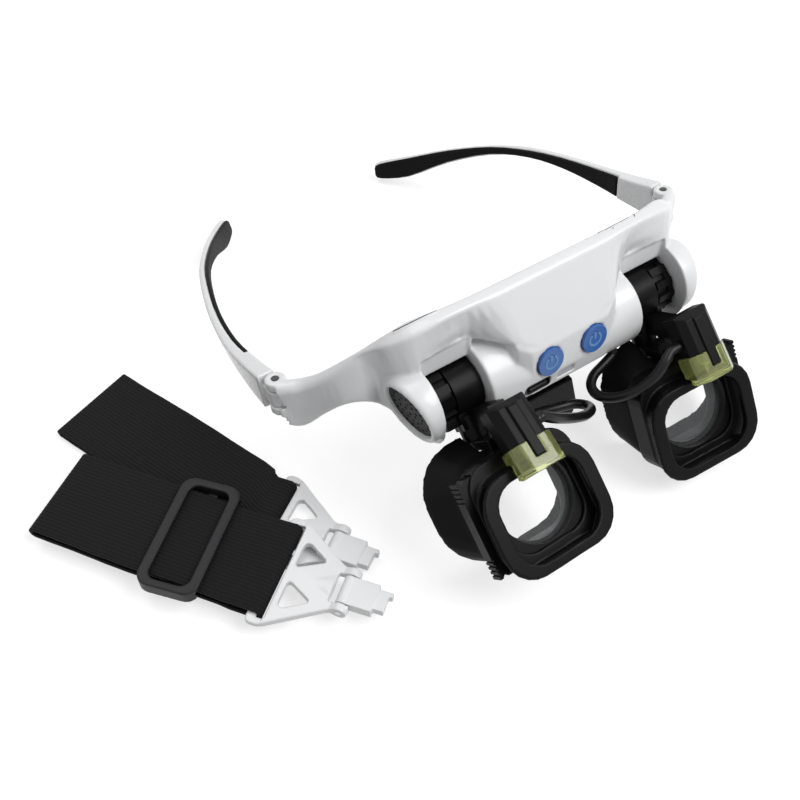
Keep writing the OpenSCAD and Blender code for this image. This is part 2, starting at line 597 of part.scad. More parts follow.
module lamp_cap(side) color([0.75, 0.8, 0.35, 0.7]) flip_unit(side) at_lamp(side) difference() {
    intersection() {
        translate([0, 0, -lamp_l]) linear_extrude(height = cap_l) lamp_outline(cap_grow, 0);
        translate([-20, -lamp_t - 5, -lamp_l]) rotate([90, 0, 90]) linear_extrude(height = 40)
            polygon([[4, 0], [9, 0], [lamp_t + 4.8, 1.2], [lamp_t + 5.1, cap_l + 1],
                [0, cap_l + 1], [0, 4.6]]);
    }
    translate([0, 0, -lamp_l + 1.6]) linear_extrude(height = cap_l) lamp_outline(cap_grow - 1.2, 1.2);
    translate([-rib_w / 2 - 0.35, -lamp_t - 3, -cap_top - cap_l * 0.55 - 0.35])
        cube([rib_w + 0.7, 5, cap_l]);
    // The back of its tip is cut away in front of the ring
    translate([0, 0, -lamp_set(side)]) rotate([lamp_tilt, 0, 0])
        translate([-20, lamp_ahead - ring_front - lamp_clear, lamp_top - ring_mid + 5])
        cube([40, 20, ring_h / 2 - 4.3]);
}
module left_lamp_cap() lamp_cap(left);
module right_lamp_cap() lamp_cap(right);
module led(side) color("ivory") flip_unit(side) at_lamp(side) translate([0, -lamp_t / 2, 0]) {
    translate([0, 0, -cap_top - 2.6]) cylinder(h = 6.6, d = led_d, $fn = arc_n);
    translate([0, 0, -cap_top - 2.6]) sphere(d = led_d, $fn = arc_n);
}
module left_led() led(left);
module right_led() led(right);

// Lens holders: a flared front ring, two slots that open to the outer side, and a back frame
ring_front = 25.75;
ring_mid = 42.75;
lip_t = 2.2;
spare_t = 2.8;
rail_t = 1;
lip_back = ring_front - lip_t;
plate_front = lip_back - spare_t - rail_t - slide_fit / 2;
plate_back = plate_front - plate_t;
back_t = 2.6;
cup_front = plate_back - slide_fit / 2 - back_t;
cup_back = 0.6;
cup_mid = 33.6;
cup_out = 2;
plate_mid = 39;
body_w = ring_w - 3.4;
slot_in = -17;
module at_holder(side) flip_unit(side) translate([head_x, -neck_ahead, 0])
    rotate([0, 0, -toe_of(side)]) translate([0, neck_ahead, 0]) children();
// A plate across the view, between two distances ahead of the flip axis
module across(back, front, mid) translate([0, -back, -mid]) rotate([90, 0, 0])
    linear_extrude(height = front - back) children();
module rounded(w, h, r) polygon(rounded_rectangle(w, h, r));
// One ring of a four-sided tube
function tube_ring(w, h, r, ahead, mid, out = 0) = [for (p = rounded_rectangle(w, h, r, 5))
    [p[0] + out, -ahead, -mid + p[1]]];
// A slot that opens to the outer side, with its inner corners cut
module slot(h, cut) polygon([[slot_in, cut - h / 2], [slot_in + cut, -h / 2], [30, -h / 2], [30, h / 2],
    [slot_in + cut, h / 2], [slot_in, h / 2 - cut]]);
module lens_holder(side) color("black") at_holder(side) difference() {
    union() {
        // The lip flares forward
        loft([tube_ring(ring_w - 1, ring_h - 1, ring_r - 0.5, ring_front, ring_mid),
            tube_ring(ring_w, ring_h, ring_r, ring_front - 0.8, ring_mid),
            tube_ring(ring_w - 2.6, ring_h - 2.6, ring_r - 1, lip_back - 0.6, ring_mid)]);
        // Body of the spare slot, body of the plate slot, and the seat of the eye cup
        across(plate_front - 0.5, lip_back + 0.4, ring_mid - 0.8) rounded(body_w, ring_h - 1.6, 9);
        across(cup_front, lip_back - spare_t - 0.5, plate_mid) rounded(body_w + 0.8, plate_h + 3.4, 8);
        across(cup_front - 3, cup_front + 0.5, plate_mid) rounded(body_w - 5, plate_h - 3, 7);
        // Post of the swivel, on a bridge from the top of the body
        translate([-4, -cup_front - 3, -plate_mid + plate_h / 2 + 1]) cube([8, 5, plate_mid - plate_h / 2 - neck_low - 1]);
        translate([-4, -cup_front - 3, -neck_low - 3]) cube([8, cup_front + 1 - neck_ahead, 3]);
        translate([0, -neck_ahead, -neck_low - 3]) cylinder(h = 3, r = 4.4, $fn = arc_n);
        translate([0, -neck_ahead, -neck_low - 1]) cylinder(h = 7.6, r = swivel_d / 2, $fn = arc_n);
    }
    // The plate slot and the spare slot
    across(plate_back - slide_fit / 2, plate_front + slide_fit / 2, plate_mid)
        slot(plate_h + slide_fit, 3.2);
    across(lip_back - spare_t, lip_back, ring_mid - 0.8)
        slot(ring_h - 4.8, 4.4);
    // The view, which steps out towards the front
    across(-10, plate_back + 1, plate_mid) rounded(view_d + 1, view_d, 7.5);
    across(plate_front - 1, lip_back - 0.8, plate_mid + 1.4) rounded(view_d + 3, view_d, 7.5);
    across(lip_back - 1, ring_front + 5, ring_mid) rounded(view_d + 6, view_d + 1, 8);
}
module left_lens_holder() lens_holder(left);
module right_lens_holder() lens_holder(right);

module eye_cup(side) color("black") at_holder(side) difference() {
    loft([tube_ring(body_w - 0.6, plate_h + 2, 8.4, cup_front - 0.05, plate_mid),
        tube_ring(body_w + 1.6, plate_h + 2.6, 10, cup_front - 3, plate_mid - 1.4),
        tube_ring(cup_w - 1, cup_h - 1, cup_r - 1, cup_back + 1.6, cup_mid + 0.6, cup_out),
        tube_ring(cup_w, cup_h, cup_r, cup_back, cup_mid, cup_out)]);
    loft([tube_ring(body_w - 4.96, plate_h - 2.96, 7, cup_front + 1, plate_mid),
        tube_ring(body_w - 4.96, plate_h - 2.96, 7, cup_front - 3.2, plate_mid),
        tube_ring(cup_w - 2 * cup_wall, cup_h - 2 * cup_wall, cup_r - cup_wall, cup_back - 1,
            cup_mid, cup_out)]);
    // Clear of the swivel post and its bridge
    translate([0, -neck_ahead, -neck_low - 3.5]) cylinder(h = 12, r = 4.8, $fn = arc_n);
    translate([-4.4, -cup_front - 4, -neck_low - 3.4]) cube([8.8, cup_front + 4 - neck_ahead, 12]);
}
module left_eye_cup() eye_cup(left);
module right_eye_cup() eye_cup(right);

// Lens plates: each slides in from the outer side and shows its ribbed grip there
plate_inner = -15.8;
plate_outer = ring_w / 2 + 1;
module lens_plate(side) color("black") at_holder(side) difference() {
    across(plate_back, plate_front, plate_mid) difference() {
        translate([plate_inner, -plate_h / 2]) square([plate_outer - plate_inner, plate_h]);
        for (s = [-1, 1]) translate([plate_inner, s * plate_h / 2]) rotate(45) square(4, center = true);
        // Ribs of the grip, at both ends
        for (s = [-1, 1]) for (k = [0:3])
            translate([plate_outer - 0.5, s * (plate_h / 2 - 1.4 - 1.5 * k) - 0.35]) square([1, 0.7]);
        for (s = [-1, 1]) translate([plate_outer - grip_l / 2, s * plate_h / 2]) rotate(45)
            square(grip_l * 0.36, center = true);
    }
    translate([0, -plate_back, -plate_mid]) rotate([90, 0, 0]) {
        translate([0, 0, -1]) cylinder(h = plate_t + 2, d = lens_d - 2, $fn = arc_n);
        translate([0, 0, 0.8]) cylinder(h = plate_t, d = lens_d + 0.04, $fn = arc_n);
    }
}
module left_lens_plate() lens_plate(left);
module right_lens_plate() lens_plate(right);
lens_edge = 1.2;
lens_bulge = 1.6;
lens_steps = 6;
module lens(side) color([0.85, 0.93, 0.96, 0.4]) at_holder(side)
    translate([0, -plate_back - 0.8, -plate_mid]) rotate([90, 0, 0]) rotate_extrude($fn = arc_n)
        polygon(concat([[0, 0], [lens_d / 2, 0], [lens_d / 2, lens_edge]], [for (k = [1:lens_steps])
            let (t = 1 - k / lens_steps) [lens_d / 2 * t, lens_edge + lens_bulge * (1 - t * t)]]));
module left_lens() lens(left);
module right_lens() lens(right);

// Lamp leads: round tubes from each gland to the inner side of its lamp, in the standing axes
lead_d = 3.4;
lead_sides = 8;
right_route = [[22.6, -42.4, -13.05], [22.6, -42.9, -13.6], [21.6, -43.2, -14.2], [17.6, -44, -15.4],
    [12.4, -45.4, -16], [9.2, -48, -16.6], [8.4, -51.6, -16.8], [9.8, -55.4, -15.8], [12.8, -58.8, -13.4],
    [17, -61.4, -10], [21.4, -62.4, -6], [25.2, -61.8, -2.6], [28.4, -60.4, -0.8], [30, -60.2, -0.4],
    [31.2, -60.2, -0.4], [32.4, -60.2, -0.4]];
left_route = [[-24, -42.4, -13.05], [-24, -42.9, -13.6], [-23.6, -43.4, -14.2], [-21, -44.2, -16.2],
    [-16, -44.6, -18.6], [-9, -45, -21], [-2, -45.8, -22.6], [3.4, -47.4, -22.8], [6, -50.6, -22],
    [4.4, -54.2, -19.4], [-1.4, -57.4, -14.8], [-9, -60, -8], [-16.6, -61.8, -1], [-22, -62.2, 3.6],
    [-25.4, -61.7, 6.2], [-26.8, -61.7, 6.2], [-28, -61.7, 6.2]];
module lead(route) {
    p = curve(route, 2);
    n = len(p) - 1;
    loft([for (i = [0:n]) let (t = unit(p[min(i + 1, n)] - p[max(i - 1, 0)]), u = unit(cross(t, [0, 0, 1])),
        v = cross(u, t)) [for (k = [0:lead_sides - 1]) p[i]
            + lead_d / 2 * (cos(360 * k / lead_sides) * u + sin(360 * k / lead_sides) * v)]]);
}
module left_lamp_lead() color("black") translate([shift_x, shift_y, stand_h]) lead(left_route);
module right_lamp_lead() color("black") translate([shift_x, shift_y, stand_h]) lead(right_route);

// Headband: one length of webbing in four layers, sewn round the bars of the two clips
layer_gap = 0.6;
front_gap = slider_t + 2 * 0.15;
layer_z = [0, strap_t + layer_gap, 2 * (strap_t + layer_gap), 3 * strap_t + 2 * layer_gap + front_gap];
back_end = [-99.4 + shift_x, -13.6 + shift_y, 0];
back_turn = -69.5;
front_end = [-109.4 + shift_x, -34.8 + shift_y, 0];
front_turn = -55.3;
clip_turn = -53;
back_clip_turn = -56;
module back_band() translate(back_end) rotate([0, 0, back_turn]) children();
module front_band() translate(front_end) rotate([0, 0, front_turn]) children();
module back_clip_end() translate(back_end + [-2.2, -2.2, 0]) rotate([0, 0, back_clip_turn]) children();
module front_clip_end() translate(front_end) rotate([0, 0, clip_turn]) children();
// A strip of webbing seen on its edge: two layers joined by a round fold at the far end
function arc(cx, cy, r, from, to, n) = [for (k = [0:n]) let (a = from + (to - from) * k / n)
    [cx + r * cos(a), cy + r * sin(a)]];
module folded_strip(l, low, high) {
    mid = (low + high + strap_t) / 2;
    outer = (high - low + strap_t) / 2;
    polygon(concat([[0, low]], arc(-l + outer, mid, outer, 270, 90, 10), [[0, high + strap_t]], [[0, high]],
        arc(-l + outer, mid, outer - strap_t, 90, 270, 8), [[0, low + strap_t]]));
}
module edge_on(w) rotate([90, 0, 0]) translate([0, 0, -w / 2]) linear_extrude(height = w) children();
bar_t = 2;
bar_w = 3;
bar_gap = 0.3;
// The sewn eye that goes round a clip's bar, rising from one layer
module strap_eye(z) edge_on(strap_w) difference() {
    translate([-4, z]) square([2 * strap_t + bar_w + 2 * bar_gap + 4, 2 * strap_t + bar_t + 2 * bar_gap]);
    translate([strap_t, z + strap_t]) square([bar_w + 2 * bar_gap, bar_t + 2 * bar_gap]);
}
module headband_webbing() color("black") {
    difference() {
        union() {
            back_band() edge_on(strap_w) folded_strip(back_l, layer_z[0], layer_z[1]);
            // Sewn together where the front pair lies on the back pair
            intersection() {
                back_band() translate([-30, 1 - strap_w / 2, layer_z[1] + 0.1])
                    cube([30, strap_w - 2, layer_z[2] - layer_z[1] + strap_t - 0.2]);
                front_band() translate([-34, 1 - strap_w / 2, 0]) cube([32, strap_w - 2, 20]);
            }
        }
        back_clip_end() translate([0.4, -40, -1]) cube([60, 80, 20]);
    }
    difference() {
        front_band() edge_on(strap_w) folded_strip(front_l, layer_z[2], layer_z[3]);
        front_clip_end() translate([0.4, -40, -1]) cube([60, 80, 20]);
    }
    back_clip_end() strap_eye(layer_z[0]);
    front_clip_end() strap_eye(layer_z[2]);
}

slider_at = -25.5;
slider_turn = 5;
slider_fit = 0.25;
slider_end = 3.3;
slider_side = (slider_l - strap_w - 2.8) / 2;
// A round-cornered ring over the top layer, and a bar under it between two side walls
module strap_slider() color("black") front_band() translate([slider_at, 0, 0])
    rotate([0, 0, slider_turn]) {
    top = layer_z[3] + strap_t + slider_fit;
    low = layer_z[3] - 0.15 - slider_t;
    inside_l = slider_l - 2 * slider_side;
    difference() {
        translate([0, 0, low]) linear_extrude(height = top + slider_t - low)
            polygon(rounded_rectangle(slider_w, slider_l, 4.5));
        // Way through for the webbing, and the window over it
        translate([-slider_w, -inside_l / 2, low + slider_t])
            cube([2 * slider_w, inside_l, top - low - slider_t]);
        translate([0, 0, top - 1]) linear_extrude(height = slider_t + 2)
            polygon(rounded_rectangle(slider_w - 2 * slider_end, inside_l, 3));
        for (s = [-1, 1]) translate([s * (slider_w + slider_end) / 2 - slider_w / 2, -inside_l / 2, low - 1])
            cube([slider_w, inside_l, slider_t + 2]);
    }
}

// Clips: a flat triangular frame with a bar for the webbing and a flared socket for the plug
clip_half = 19.5;
socket_at = 28;
clip_neck = 24.5;
flare_r = 2.7;
socket_half = 7;
plug_d = 5;
plug_pin_d = 2;
plug_w = 9.6;
clip_from = strap_t + bar_gap;
module clip_outline() difference() {
    polygon(rounded([[clip_from, -clip_half], [6.5, -clip_half], [clip_neck, -socket_half - 1],
        [socket_at + 2, -socket_half], [socket_at + 2, socket_half], [clip_neck, socket_half + 1],
        [6.5, clip_half], [clip_from, clip_half]], [1.8, 5, 6, 0.5, 0.5, 6, 5, 1.8]));
    // Gap behind the bar, which the webbing passes, and the two windows
    translate([clip_from + bar_w, -strap_w / 2 - 0.6]) square([strap_t + 1, strap_w + 1.2]);
    for (s = [-1, 1]) polygon(rounded([[9.5, s * 2.2], [9.5, s * 13], [18.9, s * 7.3]], [1, 1.6, 0.7]));
}
module clip(z) {
    bar_z = z + strap_t + bar_gap + bar_t / 2;
    difference() {
        union() {
            translate([0, 0, bar_z - bar_t / 2]) intersection() {
                linear_extrude(height = bar_t) clip_outline();
                translate([-1, -30, 0]) cube([8.5, 60, bar_t]);
            }
            translate([0, 0, bar_z - clip_t / 2]) intersection() {
                linear_extrude(height = clip_t) clip_outline();
                translate([7.4, -30, 0]) cube([40, 60, clip_t]);
            }
            // Flared socket
            hull() {
                translate([13, 0, bar_z]) rotate([0, 90, 0]) cylinder(h = 0.5, r = 0.9, $fn = 24);
                translate([socket_at + 1.5, 0, bar_z]) scale([1, 2.7, 1]) rotate([0, 90, 0])
                    cylinder(h = 1, r = flare_r, $fn = 32);
            }
        }
        // Room for the plug, and the bore of its pin
        translate([socket_at - 4.4, -plug_w / 2 - slide_fit, bar_z - 6]) cube([12, plug_w + 2 * slide_fit, 12]);
        translate([socket_at, -20, bar_z]) rotate([-90, 0, 0]) cylinder(h = 40, d = plug_pin_d, $fn = 32);
    }
    difference() {
        for (s = [-1, 1]) hull() {
            translate([socket_at, s * (plug_w / 2 + slide_fit + 1.3) - 1.3, bar_z]) rotate([-90, 0, 0])
                cylinder(h = 2.6, d = plug_d, $fn = 32);
            translate([socket_at - 3, s * (plug_w / 2 + slide_fit + 1.3) - 1.3, bar_z - clip_t / 2])
                cube([1, 2.6, clip_t]);
        }
        translate([socket_at, -20, bar_z]) rotate([-90, 0, 0]) cylinder(h = 40, d = plug_pin_d, $fn = 32);
    }
}
module plug(z) translate([socket_at, 0, z + strap_t + bar_gap + bar_t / 2]) difference() {
    union() {
        translate([0, -plug_w / 2, 0]) rotate([-90, 0, 0]) cylinder(h = plug_w, d = plug_d - 0.4, $fn = 48);
        translate([0, -plug_w / 2, -2]) cube([9.5, plug_w, 4]);
        translate([9, -plug_w / 2 + 1.4, -1.5]) cube([4, plug_w - 2.8, 3]);
        translate([9, plug_w / 2 - 2.8, -1.5]) cube([5.2, 1.6, 3]);
    }
    translate([0, -20, 0]) rotate([-90, 0, 0]) cylinder(h = 40, r = plug_pin_d / 2 + running_fit, $fn = 32);
}
module plug_pin(z) translate([socket_at, -plug_w / 2 - slide_fit - 2.6, z + strap_t + bar_gap + bar_t / 2])
    rotate([-90, 0, 0]) cylinder(h = plug_w + 2 * slide_fit + 5.2, r = plug_pin_d / 2 - 0.01, $fn = 32);
module rear_clip() color("whitesmoke") back_clip_end() clip(layer_z[0]);
module front_clip() color("whitesmoke") front_clip_end() clip(layer_z[2]);
module rear_plug() color("whitesmoke") back_clip_end() plug(layer_z[0]);
module front_plug() color("whitesmoke") front_clip_end() plug(layer_z[2]);
module rear_plug_pin() color("silver") back_clip_end() plug_pin(layer_z[0]);
module front_plug_pin() color("silver") front_clip_end() plug_pin(layer_z[2]);

front_shell();
rear_cover();
left_ear_disc();
right_ear_disc();
charging_port();
indicator_window();
circuit_board();
rechargeable_cell();
push_switches();
nose_bridge();
nose_pad();
left_flip_axle();
right_flip_axle();
left_hinge_pin();
right_hinge_pin();
cover_screws();
cable_glands();
left_button();
right_button();
left_temple();
right_temple();
left_temple_lining();
right_temple_lining();
left_flip_bracket();
right_flip_bracket();
left_lamp_housing();
right_lamp_housing();
left_lamp_cap();
right_lamp_cap();
left_led();
right_led();
left_lens_holder();
right_lens_holder();
left_eye_cup();
right_eye_cup();
left_lens_plate();
right_lens_plate();
left_lens();
right_lens();
left_lamp_lead();
right_lamp_lead();
headband_webbing();
strap_slider();
rear_clip();
front_clip();
rear_plug();
front_plug();
rear_plug_pin();
front_plug_pin();
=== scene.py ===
import math
import random

import bmesh
import bpy
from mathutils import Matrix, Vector


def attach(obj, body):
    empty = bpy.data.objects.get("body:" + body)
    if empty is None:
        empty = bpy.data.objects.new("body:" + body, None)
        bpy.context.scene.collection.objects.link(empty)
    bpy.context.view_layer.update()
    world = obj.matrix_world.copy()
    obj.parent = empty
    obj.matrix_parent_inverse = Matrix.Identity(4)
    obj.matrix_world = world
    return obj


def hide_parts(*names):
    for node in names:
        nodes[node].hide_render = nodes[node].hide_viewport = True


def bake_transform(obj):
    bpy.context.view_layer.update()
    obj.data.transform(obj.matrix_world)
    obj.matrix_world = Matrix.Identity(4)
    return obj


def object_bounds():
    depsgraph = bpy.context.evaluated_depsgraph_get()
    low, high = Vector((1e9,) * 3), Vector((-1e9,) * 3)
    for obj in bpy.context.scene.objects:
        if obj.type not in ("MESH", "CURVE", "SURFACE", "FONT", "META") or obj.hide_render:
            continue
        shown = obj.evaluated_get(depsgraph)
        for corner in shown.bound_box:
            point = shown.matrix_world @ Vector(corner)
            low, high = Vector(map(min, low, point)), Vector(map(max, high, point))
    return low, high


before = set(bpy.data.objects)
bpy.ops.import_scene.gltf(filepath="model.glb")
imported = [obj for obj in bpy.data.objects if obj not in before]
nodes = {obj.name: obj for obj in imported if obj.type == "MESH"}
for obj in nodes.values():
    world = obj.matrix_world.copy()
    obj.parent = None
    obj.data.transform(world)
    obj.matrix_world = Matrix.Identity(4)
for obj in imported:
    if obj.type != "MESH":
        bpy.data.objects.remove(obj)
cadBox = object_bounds()
mm = 0.001

# where the frame's own origin stands, in mm, and how far the brow leans down, in degrees
stand = {"origin": (40.5, -12.3, 46), "pitch": 12}


def worn(x, y, z):  # the wearer's axes, in mm, to the standing frame, in metres
    pitch = math.radians(stand["pitch"])
    right, back, up = stand["origin"]
    return Vector((x + right, y * math.cos(pitch) + z * math.sin(pitch) + back,
                   z * math.cos(pitch) - y * math.sin(pitch) + up)) * mm


def bandPoint(end, turn, u, v, z):  # a point on a strap or clip: u along it, v across it, in mm
    a = math.radians(turn)
    return Vector((end[0] + u * math.cos(a) - v * math.sin(a),
                   end[1] + u * math.sin(a) + v * math.cos(a), z)) * mm


print("camera")
view = {"eye": (-0.1239, -0.20596, 0.29068), "azimuth": 33.837, "elevation": 51.0,
        "lens": 46.35, "sensor": 36, "near": 0.01, "far": 20}
camera = bpy.data.objects.new("camera", bpy.data.cameras.new("camera"))
bpy.context.scene.collection.objects.link(camera)
bpy.context.scene.camera = camera
camera.data.sensor_width = view["sensor"]
camera.data.lens = view["lens"]
camera.data.clip_start = view["near"]
camera.data.clip_end = view["far"]
az, el = math.radians(view["azimuth"]), math.radians(view["elevation"])
towardsEye = Vector((-math.sin(az) * math.cos(el), -math.cos(az) * math.cos(el), math.sin(el)))
camera.location = view["eye"]
camera.rotation_euler = (-towardsEye).to_track_quat("-Z", "Y").to_euler()


class Value:  # a socket's value, so that shader maths reads as plain expressions
    def __init__(self, shader, out):
        self.shader = shader
        self.out = out

    def maths(self, operation, other=None, swapped=False):
        pair = [other, self] if swapped else [self, other]
        return self.shader.add("ShaderNodeMath", {"operation": operation},
                               {i: v for i, v in enumerate(pair) if v is not None})

    def __add__(self, other): return self.maths("ADD", other)
    def __radd__(self, other): return self.maths("ADD", other)
    def __sub__(self, other): return self.maths("SUBTRACT", other)
    def __rsub__(self, other): return self.maths("SUBTRACT", other, True)
    def __mul__(self, other): return self.maths("MULTIPLY", other)
    def __rmul__(self, other): return self.maths("MULTIPLY", other)
    def wave(self): return self.maths("SINE") * 0.5 + 0.5
    def clamped(self): return self.maths("MAXIMUM", 0.0).maths("MINIMUM", 1.0)


class Shader:
    def __init__(self, name, colour, roughness, metallic=0.0, coat=0.0):
        self.material = bpy.data.materials.new(name)
        self.material.use_nodes = True
        self.tree = self.material.node_tree
        self.main = self.tree.nodes["Principled BSDF"]
        self.set("Base Color", (*colour, 1))
        self.set("Roughness", roughness)
        self.set("Metallic", metallic)
        self.set("Coat Weight", coat)
        self.place = self.add("ShaderNodeTexCoord", output="Object")

    def plug(self, socket, value):  # a link where the value is a socket's, and a number otherwise
        if isinstance(value, Value):
            self.tree.links.new(value.out, socket)
        else:
            socket.default_value = value

    def set(self, name, value):
        self.plug(self.main.inputs[name], value)

    def add(self, kind, settings=None, sockets=None, output=0):
        node = self.tree.nodes.new(kind)
        for name, value in (settings or {}).items():
            setattr(node, name, value)
        for name, value in (sockets or {}).items():
            self.plug(node.inputs[name], value)
        return Value(self, node.outputs[output])

    def noise(self, scale, detail=2.0, roughness=0.5, where=None):
        return self.add("ShaderNodeTexNoise", {}, {"Vector": where or self.place, "Scale": scale,
                                                   "Detail": detail, "Roughness": roughness})

    def stretched(self, scale):  # object coordinates drawn out along one axis
        return self.add("ShaderNodeMapping", {}, {"Vector": self.place, "Scale": scale})

    def mix(self, mask, first, second):  # the Mix node's colour sockets have no names of their own
        factor, a, b, result = 0, 6, 7, 2
        return self.add("ShaderNodeMix", {"data_type": "RGBA"},
                        {factor: mask, a: (*first, 1), b: (*second, 1)}, result)

    def bump(self, height, depth):
        self.set("Normal", self.add("ShaderNodeBump", {}, {"Height": height, "Distance": depth,
                                                           "Strength": 1.0}))


def dress(node, shader):  # a CAD node keeps its shape and gets a finish
    piece = nodes[node]
    if not piece.material_slots:
        piece.data.materials.append(shader.material)
    for place in piece.material_slots:
        place.material = shader.material


print("finishes")
white = (0.76, 0.765, 0.775)
# grain is how fine the mould's texture is, depth how deep, and tint how much the colour clouds
plastics = {
    "white shell": {"colour": white, "roughness": 0.34, "grain": 1400, "depth": 0.00002, "coat": 0.25},
    "white temple": {"colour": white, "roughness": 0.27, "grain": 1400, "depth": 0.00001, "coat": 0.4},
    "white clip": {"colour": white, "roughness": 0.36, "grain": 1400, "depth": 0.00002, "coat": 0.15},
    "cover grey": {"colour": (0.68, 0.685, 0.70), "roughness": 0.45, "grain": 1100, "depth": 0.00004,
                   "coat": 0.1},
    "black plastic": {"colour": (0.0055, 0.0055, 0.006), "roughness": 0.32, "grain": 1600,
                      "depth": 0.00002, "tint": 0.3, "gloss": 0.09},
    "dull black": {"colour": (0.006, 0.006, 0.0065), "roughness": 0.5, "grain": 1300,
                   "depth": 0.00004, "tint": 0.3, "gloss": 0.2},
    "slider black": {"colour": (0.013, 0.013, 0.0145), "roughness": 0.42, "grain": 1500,
                     "depth": 0.00003, "tint": 0.2, "gloss": 0.22},
    "soft black": {"colour": (0.0045, 0.0045, 0.005), "roughness": 0.46, "grain": 900,
                   "depth": 0.00003, "tint": 0.35, "gloss": 0.09},
    "cable jacket": {"colour": (0.005, 0.005, 0.0055), "roughness": 0.32, "grain": 1200,
                     "depth": 0.00001, "tint": 0.3, "gloss": 0.22},
    "button blue": {"colour": (0.035, 0.135, 0.42), "roughness": 0.35, "grain": 1500,
                    "depth": 0.00001, "coat": 0.2, "tint": 0.12},
    "mark pale": {"colour": (0.13, 0.29, 0.58), "roughness": 0.5, "grain": 1500, "depth": 0.00001,
                  "tint": 0.05},
    "port dark": {"colour": (0.02, 0.02, 0.022), "roughness": 0.4, "grain": 1300, "depth": 0.00002,
                  "tint": 0.2},
    "pin dark": {"colour": (0.05, 0.05, 0.052), "roughness": 0.4, "grain": 1300, "depth": 0.00001,
                 "tint": 0.2},
    "window grey": {"colour": (0.42, 0.43, 0.47), "roughness": 0.5, "grain": 1200, "depth": 0.00001},
    "board green": {"colour": (0.03, 0.17, 0.07), "roughness": 0.4, "grain": 700, "depth": 0.00001,
                    "coat": 0.3, "tint": 0.2},
    "cell sleeve": {"colour": (0.05, 0.16, 0.36), "roughness": 0.3, "grain": 600, "depth": 0.00001,
                    "coat": 0.4}}
steelForm = {"colour": (0.56, 0.56, 0.58), "dark": (0.45, 0.45, 0.47), "light": (0.62, 0.62, 0.64),
             "roughness": 0.22, "spread": 0.2, "draw": (300, 4000, 4000), "depth": 0.000005}
dimpleForm = {"colour": (0.01, 0.01, 0.011), "low": (0.004, 0.004, 0.0045), "high": (0.16, 0.16, 0.165),
              "roughness": 0.4, "spread": 0.2, "scale": 1100, "level": 0.6, "contrast": 9,
              "gloss": 0.15, "depth": 0.00015}
moulding = {"clouds": 45, "finer": 2.7, "fineShare": 0.7, "finerShare": 0.3,
            "smoother": 0.05, "cloudSpread": 0.08, "fineSpread": 0.04}
clearing = {"ior": 1.46, "clouded": 0.93, "spread": 0.05}


def mouldedShader(name, colour, roughness, grain, depth, coat=0.0, tint=0.03, gloss=0.5):
    shader = Shader(name, colour, roughness, 0.0, coat)
    shader.set("Specular IOR Level", gloss)
    cloud = shader.noise(moulding["clouds"], 3)
    fine = shader.noise(grain, 2)
    finer = shader.noise(grain * moulding["finer"], 1)
    dull = tuple(c * (1 - tint) for c in colour)
    shader.set("Base Color", shader.mix(cloud, dull, colour))
    shader.set("Roughness", roughness - moulding["smoother"] + cloud * moulding["cloudSpread"]
               + fine * moulding["fineSpread"])
    shader.bump(fine * moulding["fineShare"] + finer * moulding["finerShare"], depth)
    return shader


def steelShader(form):  # turned steel, with streaks round the pin
    shader = Shader("steel", form["colour"], form["roughness"], 1.0)
    streaks = shader.noise(1, 3, 0.6, shader.stretched(form["draw"]))
    shader.set("Roughness", form["roughness"] + streaks * form["spread"])
    shader.set("Base Color", shader.mix(streaks, form["dark"], form["light"]))
    shader.bump(streaks, form["depth"])
    return shader


def dimpledShader(form):  # speckled black of the ear discs
    shader = Shader("dimpled disc", form["colour"], form["roughness"])
    shader.set("Specular IOR Level", form["gloss"])
    specks = shader.noise(form["scale"], 3, 0.7)
    bright = ((specks - form["level"]) * form["contrast"]).clamped()
    shader.set("Base Color", shader.mix(bright, form["low"], form["high"]))
    shader.set("Roughness", form["roughness"] + specks * form["spread"])
    shader.bump(specks, form["depth"])
    return shader


def clearShader(name, colour, roughness, grain, clearness=1.0):
    shader = Shader(name, colour, roughness)
    shader.set("Transmission Weight", clearness)
    shader.set("IOR", clearing["ior"])
    cloud = shader.noise(grain, 2)
    dull = tuple(c * clearing["clouded"] for c in colour)
    shader.set("Roughness", roughness + cloud * clearing["spread"])
    shader.set("Base Color", shader.mix(cloud, dull, colour))
    return shader


looks = {name: mouldedShader(name, **form) for name, form in plastics.items()}
looks["steel"] = steelShader(steelForm)
looks["dimpled disc"] = dimpledShader(dimpleForm)
looks["cap olive"] = clearShader("cap olive", (0.60, 0.64, 0.27), 0.12, 220, 0.86)
looks["lens glass"] = Shader("lens glass", (0.9, 0.93, 0.95), 0.05)
looks["lens glass"].set("Alpha", 0.035 + looks["lens glass"].noise(60, 2) * 0.02)
looks["led body"] = clearShader("led body", (0.93, 0.93, 0.86), 0.15, 300)

dressed = {
    "white shell": ["front_shell"], "cover grey": ["rear_cover"],
    "white temple": ["left_temple", "right_temple"],
    "white clip": ["rear_clip", "front_clip", "rear_plug", "front_plug"],
    "steel": ["left_flip_axle", "right_flip_axle", "cover_screws", "rear_plug_pin", "front_plug_pin"],
    "port dark": ["charging_port"], "pin dark": ["left_hinge_pin", "right_hinge_pin"],
    "window grey": ["indicator_window"], "board green": ["circuit_board"],
    "cell sleeve": ["rechargeable_cell"], "dull black": ["push_switches", "cable_glands"],
    "black plastic": ["nose_bridge", "left_lens_plate", "right_lens_plate", "left_lens_holder",
                      "right_lens_holder", "left_flip_bracket", "right_flip_bracket",
                      "left_lamp_housing", "right_lamp_housing"],
    "dimpled disc": ["left_ear_disc", "right_ear_disc"], "slider black": ["strap_slider"],
    "button blue": ["left_button", "right_button"], "cap olive": ["left_lamp_cap", "right_lamp_cap"],
    "led body": ["left_led", "right_led"], "lens glass": ["left_lens", "right_lens"]}
for look, names in dressed.items():
    for name in names:
        dress(name, looks[look])


